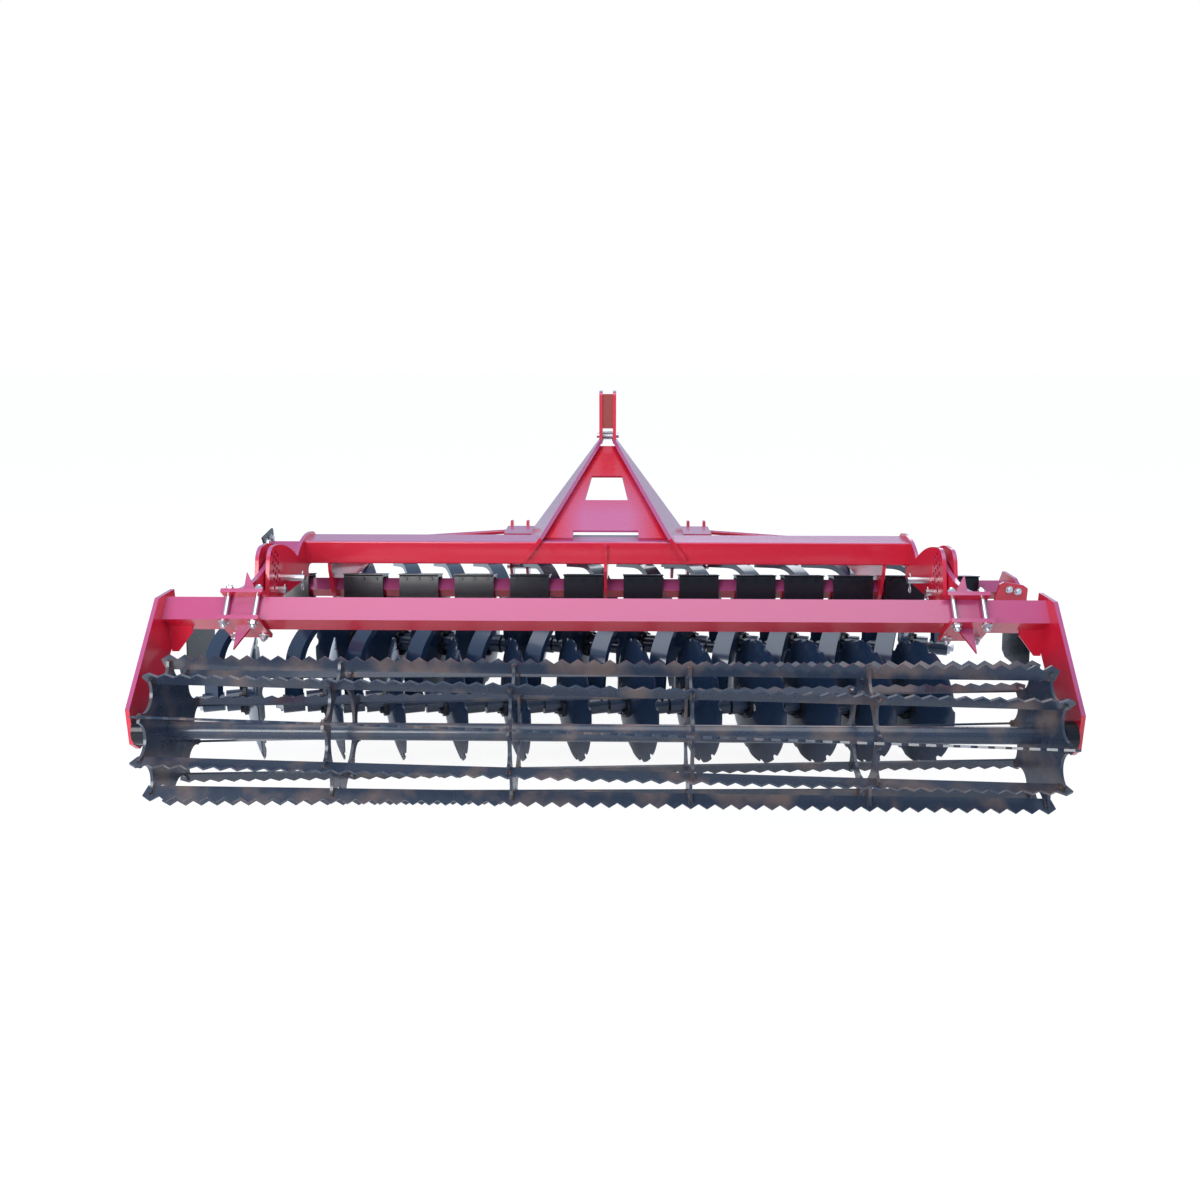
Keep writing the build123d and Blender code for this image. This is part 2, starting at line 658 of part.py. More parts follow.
def arm(x, y, mirror, seat):
    """Arm of the housing at x, cut to seat on it; mirror is -1 if it trails to the left."""
    place = Plane(origin=(x, y, 0), x_dir=(mirror * ARM_SIDESTEP, -ARM_TRAIL, 0), z_dir=(
        -ARM_TRAIL, -mirror * ARM_SIDESTEP, 0))
    axle = (cos(radians(DISC_ANGLE)), -mirror * sin(radians(DISC_ANGLE)), 0)
    foot = (x + mirror * ARM_SIDESTEP, y - ARM_TRAIL, DISC_RADIUS)
    axle_plane = Plane(origin=foot, z_dir=tuple(-mirror * value for value in axle))
    with BuildPart() as leg:
        with BuildSketch(place):
            with BuildLine():
                front_top = (SEAT_FRONT, SEAT_HEIGHT + SEAT_FRONT * SEAT_SLOPE)
                rear_top = (SEAT_REAR, SEAT_HEIGHT + SEAT_REAR * SEAT_SLOPE)
                front_low = (SEAT_FRONT, front_top[1] - LEAF_THICKNESS)
                rear_low = (SEAT_REAR, rear_top[1] - LEAF_THICKNESS)
                outer_end = (ARM_SPAN + LEAF_THICKNESS / 2, DISC_RADIUS)
                inner_end = (ARM_SPAN - LEAF_THICKNESS / 2, DISC_RADIUS)
                Line(front_top, rear_top)
                Spline(rear_top, CREST, KNEE, outer_end, tangents=[(1, SEAT_SLOPE), (0.1, -1)])
                Line(outer_end, inner_end)
                Spline(
                    inner_end, INNER_KNEE, INNER_CREST, rear_low, tangents=[(-0.1, 1), (-1, -SEAT_SLOPE)]
                )
                Polyline(rear_low, front_low, front_top)
            make_face()
        extrude(amount=LEAF_WIDTH / 2, both=True)
        add(seat, mode=Mode.SUBTRACT)
        with BuildSketch(axle_plane.offset(-BARREL_LENGTH / 2)):
            Circle(BARREL_RADIUS)
        extrude(amount=BARREL_LENGTH)
        with BuildSketch(axle_plane):
            Circle(SPINDLE_RADIUS)
        extrude(amount=SPINDLE_END)
    return leg.part


def disc_row(name, units, y, mirror):
    """Save the housings and arms of one row and return its rubber cords."""
    built = [housing(x, y) for x in units]
    arms = [arm(x, y, mirror, block) for x, (_, _, block) in zip(units, built)]
    if mirror < 0:
        built.append(housing(DEFLECTOR_BOX_X, y))
    save(Compound(children=[box for box, _, _ in built]), f"housings_{name}")
    save(Compound(children=arms), f"arms_{name}")
    return [cord for _, cords, _ in built for cord in cords.solids()]


rear_cords = disc_row("rear", REAR_UNITS_X, REAR_BEAM_Y, -1)
front_cords = disc_row("front", FRONT_UNITS_X, FRONT_BEAM_Y, 1)
save(Compound(children=rear_cords + front_cords), "cords")

# Discs with their hubs, one body each; drawn round the Z axis, the arm's middle at its origin
HUB_END = HUB_START + HUB_LENGTH
DISH_RADIUS = (DISC_RADIUS ** 2 - DISC_FLAT_RADIUS ** 2 + DISC_DISH ** 2) / 2 / DISC_DISH

with BuildPart() as disc:
    with BuildSketch(Plane.XZ):
        with BuildLine():
            back = HUB_END
            front = HUB_END + DISC_THICKNESS
            half_way = ((DISC_RADIUS + DISC_FLAT_RADIUS) / 2, DISC_DISH * 0.36)
            Line((0, back), (DISC_FLAT_RADIUS, back))
            ThreePointArc(
                (DISC_FLAT_RADIUS, back), (half_way[0], back + half_way[1]),
                (DISC_RADIUS, back + DISC_DISH),
            )
            Line((DISC_RADIUS, back + DISC_DISH), (DISC_RADIUS - 3, front + DISC_DISH))
            ThreePointArc(
                (DISC_RADIUS - 3, front + DISC_DISH), (half_way[0] - 1, front + half_way[1]),
                (DISC_FLAT_RADIUS - 2, front),
            )
            Line((DISC_FLAT_RADIUS - 2, front), (0, front))
            Line((0, front), (0, back))
        make_face()
    revolve(axis=Axis.Z)
    with BuildSketch(Plane.XY.offset(HUB_START)):
        Circle(HUB_RADIUS)
    extrude(amount=HUB_LENGTH)
    with BuildSketch(Plane.XY.offset(HUB_START)):
        Circle(SPINDLE_RADIUS + RUNNING_GAP)
    extrude(amount=SPINDLE_END - HUB_START + 2, mode=Mode.SUBTRACT)
    with BuildSketch(Plane.XY.offset(HUB_END)):
        with PolarLocations(NOTCH_CENTRE, NOTCH_COUNT, start_angle=180 / NOTCH_COUNT):
            Circle(NOTCH_RADIUS)
    extrude(amount=DISC_DISH + 2 * DISC_THICKNESS, mode=Mode.SUBTRACT)
disc_solid = disc.part


def disc_bodies(name, units, y, mirror):
    for number, x in enumerate(units, 1):
        foot = (x + mirror * ARM_SIDESTEP, y - ARM_TRAIL, DISC_RADIUS)
        axle = (-mirror * cos(radians(DISC_ANGLE)), sin(radians(DISC_ANGLE)), 0)
        place = Plane(origin=foot, x_dir=(0, 0, 1), z_dir=axle)
        with BuildPart() as unit:
            with Locations(place.location):
                add(disc_solid)
        save(unit.part, f"disc_{name}_{number:02d}")


disc_bodies("rear", REAR_UNITS_X, REAR_BEAM_Y, -1)
disc_bodies("front", FRONT_UNITS_X, FRONT_BEAM_Y, 1)

# Roller frame: square beam on its corner
BEAM_MID = ahead(ROLLER_BEAM_AHEAD, ROLLER_BEAM_HEIGHT)
with BuildPart() as roller_beam:
    with BuildSketch(upright(-ARM_PLATE_X)):
        with Locations(BEAM_MID):
            inside = ROLLER_BEAM_SIZE - 2 * ROLLER_BEAM_WALL
            Rectangle(ROLLER_BEAM_SIZE, ROLLER_BEAM_SIZE, rotation=ROLLER_BEAM_TILT)
            Rectangle(inside, inside, rotation=ROLLER_BEAM_TILT, mode=Mode.SUBTRACT)
    extrude(amount=2 * ARM_PLATE_X)
save(roller_beam.part, "roller_beam")
ROLLER_BEAM_SOLID = solid_bar(
    *BEAM_MID, ROLLER_BEAM_SIZE, ROLLER_BEAM_SIZE, ROLLER_BEAM_TILT, -ARM_PLATE_X, ARM_PLATE_X
)


def roller_arm(name, sign):
    with BuildPart() as plate:
        with BuildSketch(side(ARM_PLATE_X, ARM_PLATE_THICKNESS, sign)):
            with BuildLine():
                rear = ROLLER_BEAM_AHEAD - ARM_PLATE_BACK
                front = ROLLER_BEAM_AHEAD + ARM_PLATE_FRONT
                Polyline(
                    ahead(rear, ROLLER_BEAM_HEIGHT + ARM_PLATE_ABOVE),
                    ahead(front, ROLLER_BEAM_HEIGHT + ARM_PLATE_ABOVE),
                    ahead(front, ROLLER_BEAM_HEIGHT - ARM_PLATE_FRONT),
                    ahead(ARM_FOOT_FRONT, ROLLER_AXIS_HEIGHT - ARM_FOOT_BELOW),
                    ahead(0, ROLLER_AXIS_HEIGHT - ARM_FOOT_BELOW - 8),
                    ahead(-ARM_FOOT_BACK, ROLLER_AXIS_HEIGHT - ARM_FOOT_BELOW + 25),
                    ahead(-ARM_FOOT_BACK, ROLLER_AXIS_HEIGHT + ARM_FOOT_ABOVE),
                    ahead(rear, ROLLER_BEAM_HEIGHT + ARM_PLATE_ABOVE),
                )
            make_face()
            with Locations(ahead(0, ROLLER_AXIS_HEIGHT)):
                Circle(STUB_RADIUS + 5, mode=Mode.SUBTRACT)
        extrude(amount=ARM_PLATE_THICKNESS)
        add(arm_gusset(sign))
    save(plate.part, name)


def arm_gusset(sign):
    """Chamfered plate under the roller beam's end, square to the arm plate."""
    with BuildPart() as plate:
        with BuildSketch(Plane.XZ.offset(-ahead(ROLLER_BEAM_AHEAD - 8, 0)[0])):
            low = ROLLER_BEAM_HEIGHT - 58
            inner = ARM_PLATE_X - GUSSET_SIZE
            with BuildLine():
                Polyline(
                    (sign * ARM_PLATE_X, low + 25), (sign * inner, low + 25), (sign * inner, low - 10),
                    (sign * (ARM_PLATE_X - 25), low - GUSSET_SIZE), (sign * ARM_PLATE_X, low - GUSSET_SIZE),
                    close=True,
                )
            make_face()
        extrude(amount=8)
        add(ROLLER_BEAM_SOLID, mode=Mode.SUBTRACT)
    return plate.part


roller_arm("roller_arm_left", -1)
roller_arm("roller_arm_right", 1)


def bearing(sign):
    with BuildPart() as ring:
        with BuildSketch(side(ARM_PLATE_X - BEARING_LENGTH, BEARING_LENGTH, sign)):
            with Locations(ahead(0, ROLLER_AXIS_HEIGHT)):
                Circle(BEARING_RADIUS)
                Circle(STUB_RADIUS + RUNNING_GAP, mode=Mode.SUBTRACT)
        extrude(amount=BEARING_LENGTH)
    return ring.part


save(Compound(children=[bearing(-1), bearing(1)]), "bearings")

# Clamps: two plates and four bolts round the beam, with the lug that takes the pivot pin
BOLT_DIRECTION = (0, cos(radians(ROLLER_BEAM_TILT)), sin(radians(ROLLER_BEAM_TILT)))


def clamp_plane(sign, offset):
    """Plane square to the clamp bolts, its local Y up the beam's rear face."""
    centre = (sign * CLAMP_X, *BEAM_MID)
    return Plane(origin=centre, x_dir=(1, 0, 0), z_dir=BOLT_DIRECTION).offset(offset)


def lug(sign):
    """Plate between the ears, with the pivot hole and a seat over the stop pin."""
    pivot = ahead(PIVOT_AHEAD, PIVOT_HEIGHT)
    stop = ahead(STOP_AHEAD, STOP_HEIGHT)
    arm_length = hypot(pivot[0] - stop[0], pivot[1] - stop[1])
    down = ((pivot[1] - stop[1]) / arm_length, -(pivot[0] - stop[0]) / arm_length)
    across = (-down[1], down[0])
    seat = PIVOT_PIN_RADIUS + SEAT_GAP

    def from_stop(below, beside):
        return (stop[0] + below * down[0] + beside * across[0], stop[1] + below * down[1] + beside * across[1])

    face = ROLLER_BEAM_SIZE / 2 + CLAMP_PLATE_THICKNESS
    slope = radians(ROLLER_BEAM_TILT)

    def from_beam(along, up):
        return (
            BEAM_MID[0] + along * cos(slope) - up * sin(slope),
            BEAM_MID[1] + along * sin(slope) + up * cos(slope),
        )

    with BuildPart() as plate:
        with BuildSketch(side(LUG_X, LUG_THICKNESS, sign)):
            with BuildLine():
                peak = ahead(*LUG_PEAK)
                brow = ahead(LUG_PEAK[0] + 40, LUG_PEAK[1])
                Polyline(
                    from_beam(face, 78),
                    from_beam(face, -70),
                    (stop[0] - 30, pivot[1] - LUG_RADIUS),
                    (pivot[0], pivot[1] - LUG_RADIUS),
                    (pivot[0] + LUG_RADIUS, pivot[1]),
                    brow,
                    peak,
                )
                ThreePointArc(peak, ahead(*LUG_WAIST), from_beam(face, 78))
            make_face()
            with Locations(pivot):
                Circle(LUG_RADIUS)
                Circle(PIVOT_PIN_RADIUS + RUNNING_GAP, mode=Mode.SUBTRACT)
            with Locations(stop):
                Circle(seat, mode=Mode.SUBTRACT)
            with BuildLine():
                Polyline(
                    from_stop(0, -seat), from_stop(60, -seat - 12), from_stop(60, seat + 20),
                    from_stop(0, seat), close=True,
                )
            make_face(mode=Mode.SUBTRACT)
        extrude(amount=LUG_THICKNESS)
    return plate.part


def clamp(name, sign):
    """The two plates of a clamp, its lug, and a fin that stands between lug and plate."""
    foot = ROLLER_BEAM_SIZE / 2 + CLAMP_PLATE_THICKNESS
    up_the_face = (0, -BOLT_DIRECTION[2], BOLT_DIRECTION[1])
    fin_plane = Plane(
        origin=(sign * LUG_X, *BEAM_MID), x_dir=(1, 0, 0), z_dir=tuple(-value for value in up_the_face)
    ).offset(-FIN_OFFSET)
    with BuildPart() as plates:
        for low in (ROLLER_BEAM_SIZE / 2, -ROLLER_BEAM_SIZE / 2 - CLAMP_PLATE_THICKNESS):
            with BuildSketch(clamp_plane(sign, low)):
                Rectangle(CLAMP_PLATE_WIDTH, CLAMP_PLATE_DEPTH)
                with GridLocations(CLAMP_BOLT_SPACING, 2 * CLAMP_BOLT_OFFSET, 2, 2):
                    Circle(CLAMP_BOLT_RADIUS, mode=Mode.SUBTRACT)
            extrude(amount=CLAMP_PLATE_THICKNESS)
        add(lug(sign))
        with BuildSketch(fin_plane):
            with BuildLine():
                Polyline((0, foot), (-sign * FIN_REACH, foot), (0, foot + FIN_HEIGHT), close=True)
            make_face()
        extrude(amount=FIN_THICKNESS, both=True)
    save(plates.part, name)


clamp("clamp_left", -1)
clamp("clamp_right", 1)


def clamp_bolts(sign):
    reach = ROLLER_BEAM_SIZE / 2 + CLAMP_PLATE_THICKNESS + CLAMP_BOLT_OVERHANG
    with BuildPart() as bolts:
        with BuildSketch(clamp_plane(sign, -reach)):
            with GridLocations(CLAMP_BOLT_SPACING, 2 * CLAMP_BOLT_OFFSET, 2, 2):
                Circle(CLAMP_BOLT_RADIUS)
        extrude(amount=2 * reach)
    return bolts.part.solids()


save(Compound(children=[*clamp_bolts(-1), *clamp_bolts(1)]), "clamp_bolts")

# Roller tube with its stub axles; a drilled centre keeps the tube open at both ends
RING_FACE = RING_SPREAD / 2 + RING_THICKNESS / 2
STUB_END = ARM_PLATE_X + ARM_PLATE_THICKNESS - 3
with BuildPart() as roller_tube:
    with BuildSketch(upright(-RING_FACE)):
        with Locations(ahead(0, ROLLER_AXIS_HEIGHT)):
            Circle(ROLLER_TUBE_RADIUS)
    extrude(amount=2 * RING_FACE)
    with BuildSketch(upright(-STUB_END)):
        with Locations(ahead(0, ROLLER_AXIS_HEIGHT)):
            Circle(STUB_RADIUS)
    extrude(amount=2 * STUB_END)
    with BuildSketch(upright(-RING_FACE + 50)):
        with Locations(ahead(0, ROLLER_AXIS_HEIGHT)):
            Circle(ROLLER_TUBE_RADIUS - ROLLER_TUBE_WALL)
    extrude(amount=2 * (RING_FACE - 50), mode=Mode.SUBTRACT)
    with BuildSketch(upright(-STUB_END)):
        with Locations(ahead(0, ROLLER_AXIS_HEIGHT)):
            Circle(5)
    extrude(amount=2 * STUB_END, mode=Mode.SUBTRACT)
save(roller_tube.part, "roller_tube")

# Bars, straight and flat, each winding part of a turn round the axis
HALF_SKEW = radians(BAR_SKEW / 2)
BAR_TIP = BAR_TIP_RADIUS * cos(HALF_SKEW)
AXIS_POINT = (0, ROLLER_Y, ROLLER_AXIS_HEIGHT)


def roller_bar(number):
    angle = radians(BAR_PHASE + number * 360 / BAR_COUNT)
    outward = (0, -cos(angle), sin(angle))
    sideways = 2 * BAR_TIP_RADIUS * sin(HALF_SKEW)
    along = (BAR_LENGTH, -sideways * sin(angle), -sideways * cos(angle))
    normal = (
        along[1] * outward[2] - along[2] * outward[1],
        along[2] * outward[0] - along[0] * outward[2],
        along[0] * outward[1] - along[1] * outward[0],
    )
    pitch = BAR_LENGTH / TOOTH_COUNT
    teeth = [(-BAR_LENGTH / 2, BAR_TIP - TOOTH_DEPTH)]
    for tooth in range(TOOTH_COUNT):
        start = -BAR_LENGTH / 2 + tooth * pitch
        teeth += [(start + pitch / 2, BAR_TIP), (start + pitch, BAR_TIP - TOOTH_DEPTH)]
    with BuildPart() as bar:
        with BuildSketch(Plane(origin=AXIS_POINT, x_dir=along, z_dir=normal)):
            with BuildLine():
                Polyline(*teeth)
                Polyline(
                    teeth[-1],
                    (BAR_LENGTH / 2 - BAR_END_SLOPE, BAR_TIP - BAR_WIDTH),
                    (-BAR_LENGTH / 2 + BAR_END_SLOPE, BAR_TIP - BAR_WIDTH),
                    teeth[0],
                )
            make_face()
        extrude(amount=BAR_THICKNESS / 2, both=True)
    return bar.part


bars = [roller_bar(number) for number in range(BAR_COUNT)]
save(Compound(children=bars), "roller_bars")


def ring(x, hole):
    """Scalloped plate round the roller's axis at x, slotted for the bars."""
    turn = 2 * x / BAR_LENGTH * tan(HALF_SKEW)
    phase = BAR_PHASE - degrees(turn)
    with BuildPart() as plate:
        with BuildSketch(upright(x - RING_THICKNESS / 2)):
            with Locations(ahead(0, ROLLER_AXIS_HEIGHT)):
                Circle(LOBE_RADIUS)
                Circle(hole, mode=Mode.SUBTRACT)
                with PolarLocations(
                    SCALLOP_CENTRE, BAR_COUNT, start_angle=180 - phase + 180 / BAR_COUNT
                ):
                    Circle(SCALLOP_RADIUS, mode=Mode.SUBTRACT)
        extrude(amount=RING_THICKNESS)
        for bar in bars:
            add(bar, mode=Mode.SUBTRACT)
    return plate.part


RING_STEP = RING_SPREAD / (RING_COUNT - 1)
end_plates = [ring(x, ROLLER_TUBE_RADIUS) for x in (-RING_SPREAD / 2, RING_SPREAD / 2)]
rings = [ring(-RING_SPREAD / 2 + step * RING_STEP, RING_HOLE_RADIUS) for step in range(1, RING_COUNT - 1)]
save(Compound(children=end_plates), "roller_end_plates")
save(Compound(children=rings), "roller_rings")


# Deflectors: thin plates beside the outer discs
with BuildPart() as carrier_right:
    with BuildSketch(upright(REAR_BEAM_RIGHT)):
        with BuildLine():
            Polyline(
                ahead(960, 585), ahead(1000, 566), ahead(1230, 566), ahead(1250, 620),
                ahead(1210, 690), ahead(1080, 690), ahead(960, 640), close=True,
            )
        make_face()
    extrude(amount=DEFLECTOR_X - REAR_BEAM_RIGHT)


def deflector(name, sign, top):
    with BuildPart() as plate:
        with BuildSketch(side(DEFLECTOR_X, DEFLECTOR_THICKNESS, sign)):
            with BuildLine():
                Polyline(
                    ahead(900, top - 40), ahead(1180, top), ahead(1200, top - 80), ahead(1160, 340),
                    ahead(1120, 318), ahead(900, 318), ahead(870, 350), close=True,
                )
            make_face()
        extrude(amount=DEFLECTOR_THICKNESS)
    save(plate.part, name)


deflector("deflector_left", -1, 560)
deflector("deflector_right", 1, 640)

with BuildPart() as carrier_left:
    with BuildSketch(upright(REAR_BEAM_LEFT - CARRIER_THICKNESS)):
        with BuildLine():
            Polyline(
                ahead(1100, 660), ahead(1200, 660), ahead(1200, 480), ahead(1100, 480), close=True
            )
        make_face()
    extrude(amount=CARRIER_THICKNESS)
    with BuildSketch(upright(-DEFLECTOR_X)):
        with Locations(ahead(1150, 520)):
            Rectangle(40, 40)
    extrude(amount=DEFLECTOR_X + REAR_BEAM_LEFT)

with BuildPart() as front_bracket:
    with BuildSketch(upright(FRONT_BEAM_LEFT - CARRIER_THICKNESS)):
        with BuildLine():
            Polyline(
                ahead(1850, 700), ahead(2010, 720), ahead(2030, 580), ahead(1930, 560), close=True
            )
        make_face()
    extrude(amount=CARRIER_THICKNESS)
save(
    Compound(children=[carrier_left.part, carrier_right.part, front_bracket.part]), "deflector_carriers"
)
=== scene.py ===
import json
from math import cos, pi, radians, sin

import bmesh
import bpy
from mathutils import Matrix, Vector


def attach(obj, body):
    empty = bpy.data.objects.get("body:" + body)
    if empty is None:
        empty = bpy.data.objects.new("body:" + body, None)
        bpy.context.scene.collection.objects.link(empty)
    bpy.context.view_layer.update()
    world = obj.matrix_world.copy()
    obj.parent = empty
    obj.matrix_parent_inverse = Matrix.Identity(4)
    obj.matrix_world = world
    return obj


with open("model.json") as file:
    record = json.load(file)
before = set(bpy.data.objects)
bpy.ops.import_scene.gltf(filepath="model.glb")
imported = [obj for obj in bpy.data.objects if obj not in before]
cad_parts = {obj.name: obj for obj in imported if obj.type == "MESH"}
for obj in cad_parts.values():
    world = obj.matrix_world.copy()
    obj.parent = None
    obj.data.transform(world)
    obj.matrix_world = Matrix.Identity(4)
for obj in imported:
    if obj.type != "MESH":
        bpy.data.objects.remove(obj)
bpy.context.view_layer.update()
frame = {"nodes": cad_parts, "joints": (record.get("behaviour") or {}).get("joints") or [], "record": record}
nodes = frame["nodes"]

# Camera, as the photograph was taken: behind the roller, a little above it
PHOTO_FOCAL_MM = 30
PHOTO_SENSOR_MM = 36
CAMERA_BEHIND_ROLLER = 3.167
CAMERA_HEIGHT = 1.7216
CAMERA_X = 0.0485
CAMERA_PITCH = 15
CAMERA_YAW = 0.985

# Places that the fittings share with the frame, in metres
joint_of = {joint["name"]: joint for joint in frame["joints"]}
AXLE = Vector(joint_of["roller_spin"]["pos_m"])
PIVOT = Vector(joint_of["roller_lift"]["pos_m"])
ROLLER_Y = AXLE.y
SIDES = (("left", -1), ("right", 1))

scene = bpy.context.scene
scene.view_settings.view_transform = "Standard"


# Materials
PAINTED_SHEEN_STARTS = 0.3        # upward part of a face's normal where the painted sky reflection starts, and where it is full
PAINTED_SHEEN_FULL = 0.75
COAT_ROUGHNESS = 0.08


def node_material(name):
    material = bpy.data.materials.new(name)
    material.use_nodes = True
    return material, material.node_tree.nodes, material.node_tree.links


def painted(name, color, roughness, metallic=0.0, coat=0.0, grain=0.0, grain_scale=40.0,
            specular=0.5, patch=None, painted_sheen=None):
    """Paint or metal with a faint unevenness of gloss.

    patch is a second colour with the noise levels between which it comes in. painted_sheen is the colour
    and the strength of a painted sky reflection, pale pink, on faces that look up.
    """
    material, tree, links = node_material(name)
    shader = tree["Principled BSDF"]
    shader.inputs["Base Color"].default_value = (*color, 1)
    shader.inputs["Metallic"].default_value = metallic
    shader.inputs["Roughness"].default_value = roughness
    shader.inputs["Specular IOR Level"].default_value = specular
    shader.inputs["Coat Weight"].default_value = coat
    shader.inputs["Coat Roughness"].default_value = COAT_ROUGHNESS
    coordinates = tree.new("ShaderNodeTexCoord")
    noise = tree.new("ShaderNodeTexNoise")
    noise.inputs["Scale"].default_value = grain_scale
    noise.inputs["Detail"].default_value = 5
    links.new(coordinates.outputs["Object"], noise.inputs["Vector"])
    if grain:
        spread = tree.new("ShaderNodeMapRange")
        spread.inputs["To Min"].default_value = roughness - grain
        spread.inputs["To Max"].default_value = roughness + grain
        links.new(noise.outputs["Fac"], spread.inputs["Value"])
        links.new(spread.outputs["Result"], shader.inputs["Roughness"])

    def mix_in(other, value, low, high, most=1.0):
        ramp = tree.new("ShaderNodeMapRange")
        ramp.inputs["From Min"].default_value = low
        ramp.inputs["From Max"].default_value = high
        ramp.inputs["To Max"].default_value = most
        mix = tree.new("ShaderNodeMix")
        mix.data_type = "RGBA"
        mix.inputs["A"].default_value = (*color, 1)
        mix.inputs["B"].default_value = (*other, 1)
        links.new(value, ramp.inputs["Value"])
        links.new(ramp.outputs["Result"], mix.inputs["Factor"])
        links.new(mix.outputs["Result"], shader.inputs["Base Color"])

    if patch:
        mix_in(patch[0], noise.outputs["Fac"], *patch[1:])
    if painted_sheen:
        # Painted sky reflection: pink mixed into the colour by how far each face looks up
        split = tree.new("ShaderNodeSeparateXYZ")
        links.new(coordinates.outputs["Normal"], split.inputs["Vector"])
        mix_in(painted_sheen[0], split.outputs["Z"], PAINTED_SHEEN_STARTS, PAINTED_SHEEN_FULL, painted_sheen[1])
    return material


# Painted sky reflection: pale pink colour on the red paint's faces that look up
PAINTED_SHEEN_PINK = (0.31, 0.077, 0.215)
PAINTED_SHEEN_STRENGTH = 0.85
RED = painted(
    "red_gloss", (0.60, 0.010, 0.034), 0.24, coat=0.5, grain=0.04, painted_sheen=(PAINTED_SHEEN_PINK, PAINTED_SHEEN_STRENGTH)
)
BLACK = painted("black_gloss", (0.005, 0.006, 0.010), 0.2, coat=0.12, grain=0.05, specular=0.3)
DISC_BLACK = painted("disc_blue_black", (0.012, 0.026, 0.058), 0.22, coat=0.5, grain=0.05)
ROLLER_BLACK = painted(
    "roller_black", (0.018, 0.028, 0.050), 0.28, coat=0.3, grain=0.08, grain_scale=7,
    patch=((0.105, 0.075, 0.070), 0.50, 0.66),
)
ZINC = painted("zinc", (0.66, 0.67, 0.68), 0.3, metallic=1.0, grain=0.06)
RUBBER = painted("rubber", (0.02, 0.02, 0.02), 0.7, grain=0.05)
PANEL_RED = painted("panel_red", (0.50, 0.010, 0.030), 0.28, coat=0.3, grain=0.04)
RUST = painted("filler_red", (0.28, 0.035, 0.03), 0.45, grain=0.08)
WELD = painted(
    "weld", (0.06, 0.05, 0.048), 0.5, metallic=0.4, grain=0.1, grain_scale=60,
    patch=((0.25, 0.09, 0.03), 0.5, 0.65),
)

# Painted sheen on the headstock's panel: pale pink colour where a reflection would be
SHINE = (0.44, 0.12, 0.27)
SHINE_STRENGTH = 0.9
SHINE_SIDEWAYS = (0.10, 0.23)      # from the middle, where the shine is full and where it has gone
SHINE_HEIGHT = (0.93, 1.07)


def add_panel_shine(material):
    """Painted sheen: pale pink colour low in the middle of the headstock's panel, in place of a reflection,
    fading towards its sides and its top.
    """
    tree, links = material.node_tree.nodes, material.node_tree.links
    shader = tree["Principled BSDF"]
    split = tree.new("ShaderNodeSeparateXYZ")
    links.new(tree["Texture Coordinate"].outputs["Object"], split.inputs["Vector"])
    sideways = tree.new("ShaderNodeMath")
    sideways.operation = "ABSOLUTE"
    links.new(split.outputs["X"], sideways.inputs[0])
    fades = []
    spans = ((sideways.outputs["Value"], *SHINE_SIDEWAYS), (split.outputs["Z"], *SHINE_HEIGHT))
    for value, full, none in spans:
        fade = tree.new("ShaderNodeMapRange")
        fade.inputs["From Min"].default_value = full
        fade.inputs["From Max"].default_value = none
        fade.inputs["To Min"].default_value = SHINE_STRENGTH
        fade.inputs["To Max"].default_value = 0.0
        links.new(value, fade.inputs["Value"])
        fades.append(fade)
    both = tree.new("ShaderNodeMath")
    both.operation = "MULTIPLY"
    for number, fade in enumerate(fades):
        links.new(fade.outputs["Result"], both.inputs[number])
    mix = tree.new("ShaderNodeMix")
    mix.data_type = "RGBA"
    mix.inputs["A"].default_value = shader.inputs["Base Color"].default_value
    mix.inputs["B"].default_value = (*SHINE, 1)
    links.new(both.outputs["Value"], mix.inputs["Factor"])
    links.new(mix.outputs["Result"], shader.inputs["Base Color"])


add_panel_shine(PANEL_RED)

SLOT_LOOK = {
    "red_paint": RED, "black_paint": BLACK, "roller_steel": ROLLER_BLACK, "zinc": ZINC,
    "cord_rubber": RUBBER,
}
slot_of = {part["node"]: part["material_slot"] for part in frame["record"]["subparts"]}
SPECIAL_LOOK = {"mast_filler": RUST, "mast_panel": PANEL_RED}


def look_of(name):
    if name.startswith(("disc_", "arms_")):
        return DISC_BLACK
    return SPECIAL_LOOK.get(name, SLOT_LOOK[slot_of[name]])


for name, cad in nodes.items():
    cad.data.materials.clear()
    cad.data.materials.append(look_of(name))


# The bracket at the front beam's left end is black, and shares a node with the red carriers
BRACKET_BEGINS_Y = 0.8


def blacken_bracket(carriers):
    carriers.data.materials.append(BLACK)
    for polygon in carriers.data.polygons:
        middle = carriers.matrix_world @ polygon.center
        if middle.x < 0 and middle.y > BRACKET_BEGINS_Y:
            polygon.material_index = 1


blacken_bracket(nodes["deflector_carriers"])

# Rounded edges on the tubes and the plates
TUBE_EDGE = 0.003
PLATE_EDGE = 0.0015
TUBES = ("main_tube", "rear_beam", "front_beam", "roller_beam")
PLATES = (
    "roller_arm_left", "roller_arm_right", "mast_left", "mast_right", "mast_panel", "clamp_left",
    "clamp_right", "side_plate_left", "side_plate_right", "hangers", "hitch_plates",
)


def round_edges(names, width):
    for name in names:
        bevel = nodes[name].modifiers.new("edges", "BEVEL")
        bevel.width = width
        bevel.segments = 2
        bevel.limit_method = "ANGLE"
        bevel.angle_limit = radians(40)


round_edges(TUBES, TUBE_EDGE)
round_edges(PLATES, PLATE_EDGE)


